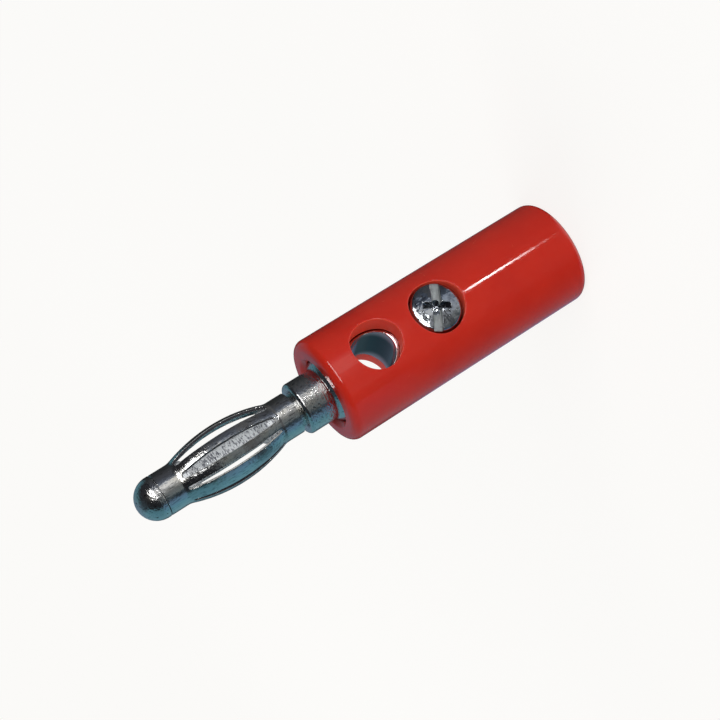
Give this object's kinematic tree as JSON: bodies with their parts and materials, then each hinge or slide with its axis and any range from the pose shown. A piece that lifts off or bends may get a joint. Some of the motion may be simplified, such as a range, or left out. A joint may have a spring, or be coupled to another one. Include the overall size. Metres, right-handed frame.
{
  "type": "stackable banana plug",
  "caption": "Stackable banana plug with a red moulded sleeve, a cross hole that takes another plug, a wire clamp screw and a lantern spring round the pin.",
  "frame": {"origin": "centre of the sleeve's rear end face, which the plug stands on", "axes": "+Z along the plug's axis towards the tip; -Y out of the clamp screw's head and the stacking hole"},
  "size_m": [0.01, 0.01, 0.0449],
  "materials": {
    "red_plastic": "moulded, glossy",
    "plated_brass": "turned, nickel plated",
    "plated_spring_sheet": "rolled sheet, nickel plated",
    "plated_screw_steel": "zinc or nickel plated"
  },
  "bodies": {
    "plug": {"insulating_sleeve": "red_plastic", "plug_body": "plated_brass"},
    "spring": {"lantern_spring": "plated_spring_sheet"},
    "screw": {"clamp_screw": "plated_screw_steel"}
  },
  "joints": [
    {"name": "spring_spin", "type": "hinge", "parent": "plug", "child": "spring", "pos_m": [0, 0, 0.0359], "axis": [0, 0, 1], "continuous": true},
    {"name": "screw_travel", "type": "slide", "parent": "plug", "child": "screw", "axis": [0, -1, 0], "range_m": [-0.00045, 0.0026]}
  ]
}
